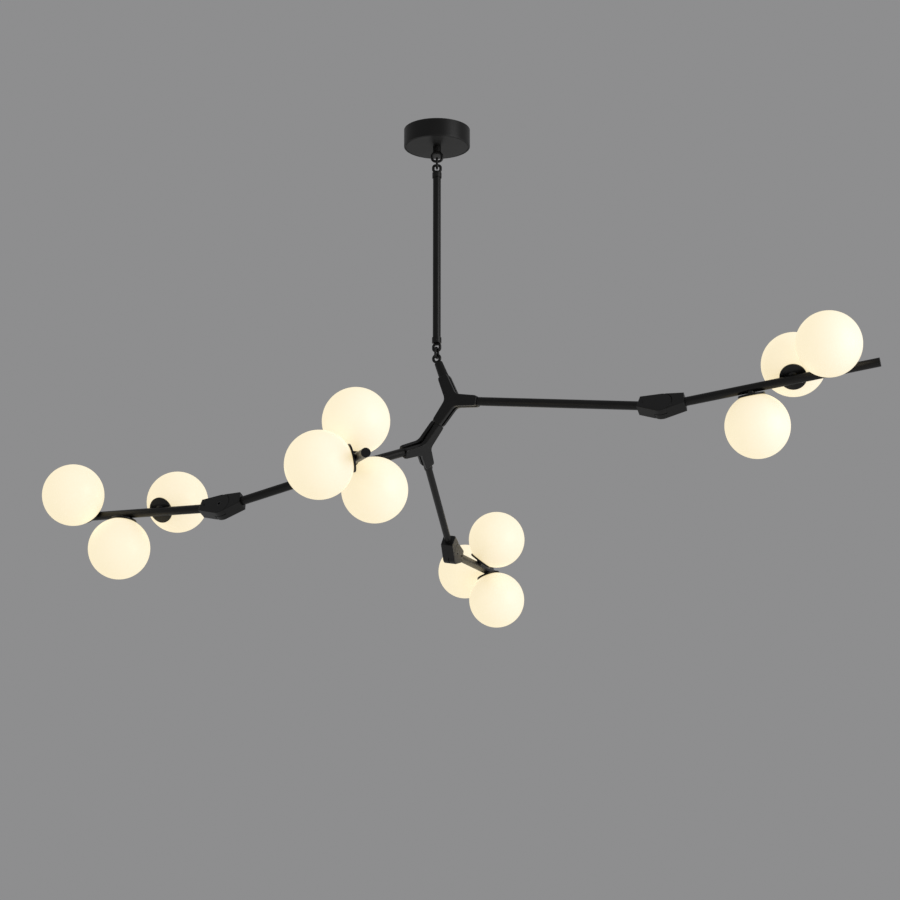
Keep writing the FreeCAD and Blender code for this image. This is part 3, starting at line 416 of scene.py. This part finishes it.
def place_object(places):
    """Points with the turn of each copy, from (spot, way of local Z, way of local X)."""
    turns = []
    for _, out, along in places:
        z = Vector(out).normalized()
        x = Vector(along)
        x = (x - z * x.dot(z)).normalized()
        turns.append(tuple(Matrix((x, z.cross(x), z)).transposed().to_euler("XYZ")))
    return plain_mesh("places", [place[0] for place in places], turn=turns)


def smooth(piece, degrees=32.0):
    """Merge, point every face outwards, and shade smooth with sharp edges past an angle."""
    shape = bmesh.new()
    shape.from_mesh(piece.data)
    bmesh.ops.remove_doubles(shape, verts=shape.verts, dist=MERGE)
    bmesh.ops.recalc_face_normals(shape, faces=shape.faces)
    open_edges = sum(1 for edge in shape.edges if len(edge.link_faces) != 2)
    if open_edges:
        raise RuntimeError("%s isn't closed: %d open edges" % (piece.name, open_edges))
    shape.to_mesh(piece.data)
    shape.free()
    piece.data.shade_smooth()
    piece.data.set_sharp_from_angle(angle=math.radians(degrees))


def from_group(name, group, start, places, values, body, slot, node=None):
    """Run a geometry group once on a start shape, keep the result as a plain mesh, and place it."""
    spots = place_object(places)
    start.name = name
    modifier = start.modifiers.new("made", "NODES")
    modifier.node_group = group
    known = {item.name: item.identifier for item in group.interface.items_tree
             if item.item_type == "SOCKET" and item.in_out == "INPUT"}
    for label, value in {"Places": spots, "Finish": MATERIALS[slot], **values}.items():
        modifier[known[label]] = value
    graph = bpy.context.evaluated_depsgraph_get()
    made = bpy.data.meshes.new_from_object(start.evaluated_get(graph), depsgraph=graph,
                                           preserve_all_data_layers=True)
    start.modifiers.clear()
    old = start.data
    start.data = made
    bpy.data.meshes.remove(old)
    bpy.data.objects.remove(spots)
    made.name = name
    if not made.polygons:
        raise RuntimeError(name + " came out empty")
    smooth(start)
    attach(start, body)
    if node:
        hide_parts(node)
    return start


def rounded(corners, radius, steps=6):
    """Round the inner corners of a chain of (x, y) by a short curve, within a share of each side."""
    most = 0.45
    made = [corners[0]]
    for before, corner, after in zip(corners, corners[1:], corners[2:]):
        corner, ends = np.array(corner), []
        for other in (before, after):
            way = np.array(other) - corner
            far = np.linalg.norm(way)
            ends.append(corner + way / far * min(radius, most * far))
        for i in range(steps + 1):
            t = i / steps
            made.append(tuple((1 - t) ** 2 * ends[0] + 2 * t * (1 - t) * corner + t ** 2 * ends[1]))
    return made + [corners[-1]]


def arc(radius, centre, start, end, steps):
    """Points on a circle about (0, centre), its angles taken from the axis."""
    return [(radius * math.sin(angle), centre + radius * math.cos(angle))
            for angle in np.linspace(start, end, steps + 1)]


# ---- finishes ----

MATERIALS = {}


def new_finish(slot, **inputs):
    """A material for a slot of the record, with the numbers that are the same all over it."""
    material = bpy.data.materials.new(slot)
    material.use_nodes = True
    shader = material.node_tree.nodes["Principled BSDF"]
    for name, value in inputs.items():
        shader.inputs[name.replace("_", " ")].default_value = value
    MATERIALS[slot] = material
    return material.node_tree, shader


def grain(tree, scale, detail=2.0, roughness=0.5, stretch=None):
    """Noise from 0 to 1 on the piece's own coordinates, with so many spots to a metre."""
    where = add(tree, "ShaderNodeTexCoord").outputs["Object"]
    if stretch:
        where = add(tree, "ShaderNodeMapping", {"Vector": where, "Scale": stretch}).outputs[0]
    return add(tree, "ShaderNodeTexNoise", {
        "Vector": where, "Scale": scale, "Detail": detail, "Roughness": roughness}).outputs[0]


def cells(tree, scale):
    """A pattern of cells on the piece's own coordinates, with so many cells to a metre."""
    where = add(tree, "ShaderNodeTexCoord").outputs["Object"]
    return add(tree, "ShaderNodeTexVoronoi", {"Vector": where, "Scale": scale}).outputs


def between(tree, value, low, high, start=0.3, end=0.7):
    """A value taken from start..end to low..high."""
    return add(tree, "ShaderNodeMapRange", {
        "Value": value, "From Min": start, "From Max": end, "To Min": low,
        "To Max": high}).outputs["Result"]


def blend(tree, amount, first, second):
    """A colour between two, each a colour or a socket."""
    mix = tree.nodes.new("ShaderNodeMix")
    mix.data_type = "RGBA"
    for key, value in ((0, amount), (6, first), (7, second)):
        if isinstance(value, bpy.types.NodeSocket):
            tree.links.new(value, mix.inputs[key])
        else:
            mix.inputs[key].default_value = (*value, 1.0) if key else value
    return mix.outputs[2]


def shade(tree, shader, colour, roughness, height=None, depth=0.0001, strength=0.5):
    """Join a colour, a roughness and a height to the shader."""
    tree.links.new(colour, shader.inputs["Base Color"])
    tree.links.new(roughness, shader.inputs["Roughness"])
    if height is not None:
        bump = add(tree, "ShaderNodeBump", {"Height": height, "Distance": depth,
                                            "Strength": strength})
        tree.links.new(bump.outputs[0], shader.inputs["Normal"])


def scaled(colour, amount):
    """A colour made darker or paler."""
    return tuple(min(1.0, part * amount) for part in colour)


def coated(slot, colour, roughness, grains, depth, **inputs):
    """Black finish: clouds of slightly paler coat, a fine grain and rubbed, glossier spots."""
    dark, pale, dusty = scaled(colour, 0.85), scaled(colour, 1.22), scaled(colour, 2.4)
    dust_share = 0.22
    tree, shader = new_finish(slot, **inputs)
    clouds = grain(tree, 26.0, detail=4.0, roughness=0.6)
    fine = grain(tree, grains, roughness=0.6)
    specks = cells(tree, grains * 0.6)["Distance"]
    dust = between(tree, specks, 1.0, 0.0, start=0.05, end=0.16)
    base = blend(tree, between(tree, clouds, 0.0, 1.0), dark, pale)
    speckled = blend(tree, maths(tree, "MULTIPLY", dust, dust_share), base, dusty)
    rubbed = between(tree, grain(tree, 9.0, detail=3.0), roughness - 0.05, roughness + 0.06)
    shade(tree, shader, speckled, rubbed, fine, depth=depth, strength=0.6)


def powder_coat(metal):
    """Satin black of the canopy, stem, links, rods and tubes."""
    coated("black_tube", metal.coat, metal.coat_roughness, grains=1500.0, depth=0.00005,
           Specular_IOR_Level=0.32)


def machined_black(metal):
    """The finer, slightly glossier black of forks, elbows and cups."""
    coated("black_machined", metal.machined, metal.coat_roughness - 0.05, grains=2600.0,
           depth=0.00003, Specular_IOR_Level=0.36)


def washer_plastic():
    """Dull black plastic of the friction washers."""
    coated("washer_plastic", (0.012, 0.012, 0.012), 0.5, grains=1800.0, depth=0.00003,
           Specular_IOR_Level=0.4)


def screw_steel():
    """Blackened steel, a little worn to bare metal."""
    tree, shader = new_finish("black_screws", Metallic=1.0)
    wear = between(tree, grain(tree, 700.0, detail=3.0, roughness=0.6), 0.0, 1.0, start=0.45, end=0.75)
    shade(tree, shader, blend(tree, wear, (0.045, 0.045, 0.048), (0.10, 0.098, 0.095)),
          between(tree, grain(tree, 1600.0), 0.30, 0.46), grain(tree, 2400.0), depth=0.00003)


def zinc_steel():
    """Zinc plate in pale and dark crystals, drawn along one way."""
    tree, shader = new_finish("zinc_steel", Metallic=1.0)
    spangle = blend(tree, cells(tree, 420.0)["Color"], (0.52, 0.52, 0.50), (0.68, 0.68, 0.66))
    shade(tree, shader, spangle, between(tree, grain(tree, 60.0, detail=3.0), 0.24, 0.42),
          grain(tree, 900.0, stretch=(1.0, 0.08, 1.0)), depth=0.00002)


def holder_plastic():
    """Cream moulded plastic of the lampholders."""
    tree, shader = new_finish("holder_plastic", Specular_IOR_Level=0.5)
    cream = blend(tree, grain(tree, 130.0, detail=4.0), (0.72, 0.69, 0.62), (0.84, 0.82, 0.76))
    shade(tree, shader, cream, between(tree, grain(tree, 500.0), 0.32, 0.5),
          grain(tree, 1200.0), depth=0.00004)


def bulb_glass():
    """Frosted glass that glows warm."""
    tree, shader = new_finish("bulb_glass", Emission_Strength=2.2)
    frost = grain(tree, 260.0, detail=3.0)
    shade(tree, shader, blend(tree, frost, (0.90, 0.88, 0.82), (0.96, 0.94, 0.90)),
          between(tree, frost, 0.35, 0.55), grain(tree, 2200.0), depth=0.00003)
    tree.links.new(blend(tree, frost, (1.0, 0.84, 0.58), (1.0, 0.92, 0.74)),
                   shader.inputs["Emission Color"])


def opal_glass(glass):
    """Lit opal glass, its light a little deeper in colour near the cup and faintly uneven."""
    tree, shader = new_finish("opal_glass", Emission_Strength=glass.glow, Specular_IOR_Level=0.35)
    unevenness = maths(tree, "MULTIPLY", grain(tree, 22.0, roughness=0.4), 0.06)
    reach = add(tree, "ShaderNodeAttribute", attribute_name="reach").outputs["Fac"]
    lit = between(tree, maths(tree, "ADD", reach, unevenness), 0.0, 1.0, start=0.10, end=0.55)
    tree.links.new(blend(tree, lit, glass.neck_colour, glass.glow_colour),
                   shader.inputs["Emission Color"])
    cloudy = blend(tree, grain(tree, 40.0, detail=3.0), scaled(glass.body_colour, 0.97),
                   scaled(glass.body_colour, 1.03))
    shade(tree, shader, cloudy, between(tree, grain(tree, 70.0), 0.34, 0.44),
          grain(tree, 30.0, detail=1.0), depth=0.0002, strength=0.25)


def floor_paint(colour):
    """Matt paint, very slightly clouded."""
    tree, shader = new_finish("floor_paint", Specular_IOR_Level=0.1)
    clouded = blend(tree, grain(tree, 1.2), scaled(colour, 0.985), scaled(colour, 1.015))
    shade(tree, shader, clouded, between(tree, grain(tree, 6.0), 0.85, 0.92))
    return MATERIALS.pop("floor_paint")


# ---- operators, one for each group of like pieces ----

class CHANDELIER_OT_finishes(bpy.types.Operator):
    """Make every finish and put it on the CAD nodes that stay"""

    bl_idname = "chandelier.finishes"
    bl_label = "Finishes"

    def execute(self, context):
        metal = context.scene.chandelier_metal
        powder_coat(metal)
        machined_black(metal)
        washer_plastic()
        screw_steel()
        zinc_steel()
        holder_plastic()
        bulb_glass()
        opal_glass(context.scene.chandelier_glass)
        for name, node in frame["nodes"].items():
            node.data.materials.clear()
            node.data.materials.append(MATERIALS[SLOT_OF[name]])
        return {"FINISHED"}


class CHANDELIER_OT_canopy(bpy.types.Operator):
    """Spin the canopy, with its softened edge and the fine groove round its underside"""

    bl_idname = "chandelier.canopy"
    bl_label = "Canopy"

    def execute(self, context):
        sizes = context.scene.chandelier_metal
        corners = loose_pieces("canopy")[0]
        away = np.hypot(corners[:, 0], corners[:, 1])
        low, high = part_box("canopy")
        depth, outer, hole = high.z - low.z, away.max(), away.min()
        inner = away[corners[:, 2] > high.z - MERGE].min()
        floor = depth - (outer - inner)
        start = outer - sizes.canopy_edge - sizes.groove
        end, cut, slope = start + sizes.groove, sizes.groove * 0.7, sizes.groove * 0.2
        edge = rounded([(outer, 0.0), (outer, depth), (end, depth)], sizes.canopy_edge * 0.7)
        profile = profile_object("canopy_profile", [
            (inner, 0.0), *edge, (end - slope, depth - cut), (start + slope, depth - cut),
            (start, depth), (hole, depth), (hole, floor), (inner, floor), (inner, 0.0)])
        from_group("spun_canopy", turned_group(), profile, [((0, 0, high.z), (0, 0, -1), (1, 0, 0))],
                   {"Around": CANOPY_AROUND}, BODY_OF["canopy"], "black_tube", "canopy")
        return {"FINISHED"}


class CHANDELIER_OT_globes(bpy.types.Operator):
    """Blow the twelve opal globes, three to a tube"""

    bl_idname = "chandelier.globes"
    bl_label = "Globes"

    def execute(self, context):
        sizes = context.scene.chandelier_glass
        group = turned_group()
        for side in SIDES:
            lamp = LAMPS[side][0]
            radius, middle = lamp["radius"], lamp["offset"]
            seat, inner = middle + lamp["seat"], radius - sizes.wall
            lip = math.acos(lamp["seat"] / radius)
            before_lip = lip - 2.2 * sizes.lip_round / radius
            shoulder = math.pi - math.asin(lamp["mouth"] / inner)
            outside = arc(radius, middle, 0.0, before_lip, OUTSIDE_STEPS)
            edge = rounded([outside[-1], (radius * math.sin(lip), seat), (lamp["mouth"], seat),
                            (lamp["mouth"], middle + inner * math.cos(shoulder))],
                           sizes.lip_round)
            inside = arc(inner, middle, shoulder, 0.0, INSIDE_STEPS)
            profile = profile_object("globe_profile", outside[:-1] + edge + inside[1:])
            from_group(side + "_opal_globes", group, profile, lamp_places(side),
                       {"Around": sizes.around}, BODY_OF[side + "_globes"], "opal_glass",
                       side + "_globes")
        return {"FINISHED"}


class CHANDELIER_OT_cups(bpy.types.Operator):
    """Turn the twelve dark cups, each on a stub that saddles its tube"""

    bl_idname = "chandelier.cups"
    bl_label = "Cups"

    def execute(self, context):
        sizes = context.scene.chandelier_glass
        group = turned_group()
        for side in SIDES:
            lamp = LAMPS[side][0]
            tube_corners = loose_pieces(side + "_tube")[0]
            tube = from_axis(tube_corners, lamp["foot"], lamp["along"]).max()
            rim = sizes.cup_width / 2
            recess = rim - CUP_FLAT
            floor = lamp["offset"] + lamp["seat"] - SEAT_GAP
            top = lamp["offset"] - math.sqrt(lamp["radius"] ** 2 - recess ** 2) - SEAT_GAP
            under, (spread, rise) = top - CUP_HEIGHT, STUB_FLARE
            foot = [(0.0, tube / 2), (STUB_RADIUS, tube / 2)]
            bowl = [(STUB_RADIUS, under - rise), (STUB_RADIUS + spread, under),
                    (rim - CUP_BEVEL, under), (rim, under + CUP_BEVEL), (rim, top),
                    (recess, top), (recess - CUP_SLOPE, floor), (0.0, floor)]
            profile = profile_object("cup_profile", foot + rounded(bowl, CUP_ROUNDING, CUP_STEPS))
            from_group(side + "_dark_cups", group, profile, lamp_places(side),
                       {"Around": sizes.around, "Saddle": tube}, BODY_OF[side + "_cups"],
                       "black_machined", side + "_cups")
        return {"FINISHED"}


class CHANDELIER_OT_links(bpy.types.Operator):
    """Bend the two welded chain links that the stem hangs and swings on"""

    bl_idname = "chandelier.links"
    bl_label = "Chain links"

    def execute(self, context):
        group = link_group()
        weld = context.scene.chandelier_metal.weld
        for node, joint in (("top_link", "top_link_swing"), ("bottom_link", "bottom_link_swing")):
            low, high = (np.array(corner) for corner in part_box(node))
            normal = np.array(JOINTS[joint]["axis"])
            corners = loose_pieces(node)[0]
            level = np.cross((0.0, 0.0, 1.0), normal)
            wire = np.ptp(corners @ normal)
            width, height = np.ptp(corners @ level) - wire, high[2] - low[2] - wire
            start = profile_object(node, [(0.0, 0.0), (wire, 0.0)])
            from_group(node + "_welded", group, start, [((low + high) / 2, normal, level)], {
                "Width": width, "Height": height, "Wire": wire, "Weld": weld,
                "Corner": width / 2 - wire / 3}, BODY_OF[node], "black_tube", node)
        return {"FINISHED"}


def screw_corners(width, proud):
    """The outline of a grub screw: up its side, over its sloped edge and down into its hexagon."""
    thread, face, top = width / 2, SCREW_FOOT, SCREW_FOOT + proud
    key, slanted = thread * 0.62, thread * 0.86
    edge, wall_end, floor = face + proud * 0.7, face + proud * 0.15, face + proud * 0.05
    return [(0.0, 0.0), (thread, 0.0), (thread, edge), (slanted, top), (key, top, 1.0),
            (key, wall_end, 1.0), (key * 0.9, floor, 1.0), (0.0, floor)]


class CHANDELIER_OT_grub_screws(bpy.types.Operator):
    """Set small socket screws in the elbows' sockets and the stem's collars"""

    bl_idname = "chandelier.grub_screws"
    bl_label = "Grub screws"

    def execute(self, context):
        sizes = context.scene.chandelier_metal
        group = turned_group()
        places = {}
        for side in ("right", "left", "drop"):
            fold, swivel = JOINTS[side + "_elbow_fold"], JOINTS[side + "_elbow_swivel"]
            pivot, bolt = np.array(fold["pos_m"]), np.array(fold["axis"])
            rod, tube = np.array(swivel["axis"]), LAMPS[side][0]["along"]
            tube = tube * np.sign(tube @ (LAMPS[side][0]["foot"] - pivot))
            half = np.ptp(loose_pieces(side + "_elbow_inner")[0] @ bolt) / 2
            places[side + "_elbow"] = [(pivot - rod * SCREW_REACH + bolt * half, bolt, rod)]
            places[side + "_arm"] = [(pivot + tube * SCREW_REACH - bolt * half, -bolt, tube)]
        low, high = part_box("stem_tube")
        axis = (low.x + high.x) / 2
        for node, height in (("stem_top_eye", high.z + COLLAR_SCREW),
                             ("stem_bottom_eye", low.z - COLLAR_SCREW)):
            collar = np.array([corner for corner in loose_pieces(node)[0]
                               if abs(corner[2] - height) < COLLAR_SCREW + MERGE])
            front = (axis, collar[:, 1].min(), height)
            places.setdefault("stem", []).append((front, (0, -1, 0), (0, 0, 1)))
        corners = screw_corners(sizes.screw_width, sizes.screw_proud)
        for body, spots in places.items():
            sunk = [(np.array(spot) - np.array(out) * SCREW_FOOT, out, along)
                    for spot, out, along in spots]
            from_group(body + "_grub_screws", group, profile_object("screw_profile", corners), sunk,
                       {"Around": SCREW_AROUND}, body, "black_screws")
        return {"FINISHED"}


def room_light(studio):
    """Even light on the pieces, and the backdrop's colour where the camera, gloss or glass looks."""
    world = bpy.data.worlds.new("studio")
    world.use_nodes = True
    tree = world.node_tree
    tree.nodes.clear()
    seen = add(tree, "ShaderNodeLightPath").outputs
    shown = maths(tree, "MAXIMUM", seen["Is Camera Ray"],
                  maths(tree, "MAXIMUM", seen["Is Glossy Ray"], seen["Is Transmission Ray"]))
    light = add(tree, "ShaderNodeBackground", {"Color": (1.0, 1.0, 1.0, 1.0), "Strength": studio.sky})
    wall = add(tree, "ShaderNodeBackground", {"Color": (*studio.backdrop, 1.0), "Strength": 1.0})
    both = add(tree, "ShaderNodeMixShader", {0: shown, 1: light.outputs[0], 2: wall.outputs[0]})
    add(tree, "ShaderNodeOutputWorld", {"Surface": both.outputs[0]})
    return world


def soft_lamp(name, place, size, power):
    """A round soft light that the camera doesn't see. Only the key is mirrored in the metal."""
    data = bpy.data.lights.new(name, "AREA")
    data.shape, data.size, data.energy = "DISK", size, power
    lamp = bpy.data.objects.new(name, data)
    lamp.location = place
    lamp.rotation_mode = "QUATERNION"
    lamp.rotation_quaternion = (LAMP_AIM - Vector(place)).to_track_quat("-Z", "Y")
    lamp.visible_camera = False
    lamp.visible_glossy = name == "key"
    return lamp


def viewer(studio):
    """The camera, at the photograph's viewing angle."""
    data = bpy.data.cameras.new("viewer")
    data.lens, data.sensor_width = studio.lens, SENSOR_WIDTH
    data.clip_start, data.clip_end = NEAREST, FARTHEST
    camera = bpy.data.objects.new("viewer", data)
    camera.location = studio.camera_place
    camera.rotation_euler = (math.pi / 2 + studio.camera_pitch, 0.0, 0.0)
    return camera


class CHANDELIER_OT_stage(bpy.types.Operator):
    """Lay the floor, light the room softly and set the camera"""

    bl_idname = "chandelier.stage"
    bl_label = "Studio"

    def execute(self, context):
        studio = context.scene.chandelier_studio
        bpy.ops.mesh.primitive_circle_add(vertices=FLOOR_CORNERS, radius=FLOOR_RADIUS,
                                          fill_type="NGON", location=(0.0, 0.0, FLOOR_HEIGHT))
        floor = context.object
        floor.name = "floor"
        floor.data.materials.append(floor_paint(studio.floor))
        context.scene.world = room_light(studio)
        for name, place, size, share in STUDIO_LAMPS:
            lamp = soft_lamp(name, place, size, studio.key * share)
            context.scene.collection.objects.link(lamp)
        camera = viewer(studio)
        context.scene.collection.objects.link(camera)
        context.scene.camera = camera
        context.scene.view_settings.view_transform = "Standard"
        return {"FINISHED"}


PROPERTY_GROUPS = {"chandelier_glass": ChandelierGlass, "chandelier_metal": ChandelierMetal,
                   "chandelier_studio": ChandelierStudio}
OPERATORS = (CHANDELIER_OT_finishes, CHANDELIER_OT_canopy, CHANDELIER_OT_globes, CHANDELIER_OT_cups,
             CHANDELIER_OT_links, CHANDELIER_OT_grub_screws, CHANDELIER_OT_stage)


class CHANDELIER_PT_panel(bpy.types.Panel):
    """Lists the pieces of the chandelier and their sizes"""

    bl_label = "Branch Chandelier"
    bl_idname = "CHANDELIER_PT_panel"
    bl_space_type = "VIEW_3D"
    bl_region_type = "UI"
    bl_category = "Chandelier"

    def draw(self, context):
        for operator in OPERATORS:
            self.layout.operator(operator.bl_idname)
        for label, kind in PROPERTY_GROUPS.items():
            box = self.layout.box()
            for name in kind.__annotations__:
                box.prop(getattr(context.scene, label), name)


def register():
    for kind in (*PROPERTY_GROUPS.values(), *OPERATORS, CHANDELIER_PT_panel):
        bpy.utils.register_class(kind)
    for label, kind in PROPERTY_GROUPS.items():
        setattr(bpy.types.Scene, label, PointerProperty(type=kind))


def unregister():
    for label in PROPERTY_GROUPS:
        delattr(bpy.types.Scene, label)
    for kind in (CHANDELIER_PT_panel, *OPERATORS, *PROPERTY_GROUPS.values()):
        bpy.utils.unregister_class(kind)


def main():
    """Make every piece around the frame, then lay out the studio and its camera."""
    register()
    bpy.ops.chandelier.finishes()
    bpy.ops.chandelier.canopy()
    bpy.ops.chandelier.globes()
    bpy.ops.chandelier.cups()
    bpy.ops.chandelier.links()
    bpy.ops.chandelier.grub_screws()
    bpy.ops.chandelier.stage()


if __name__ == "__main__":
    main()
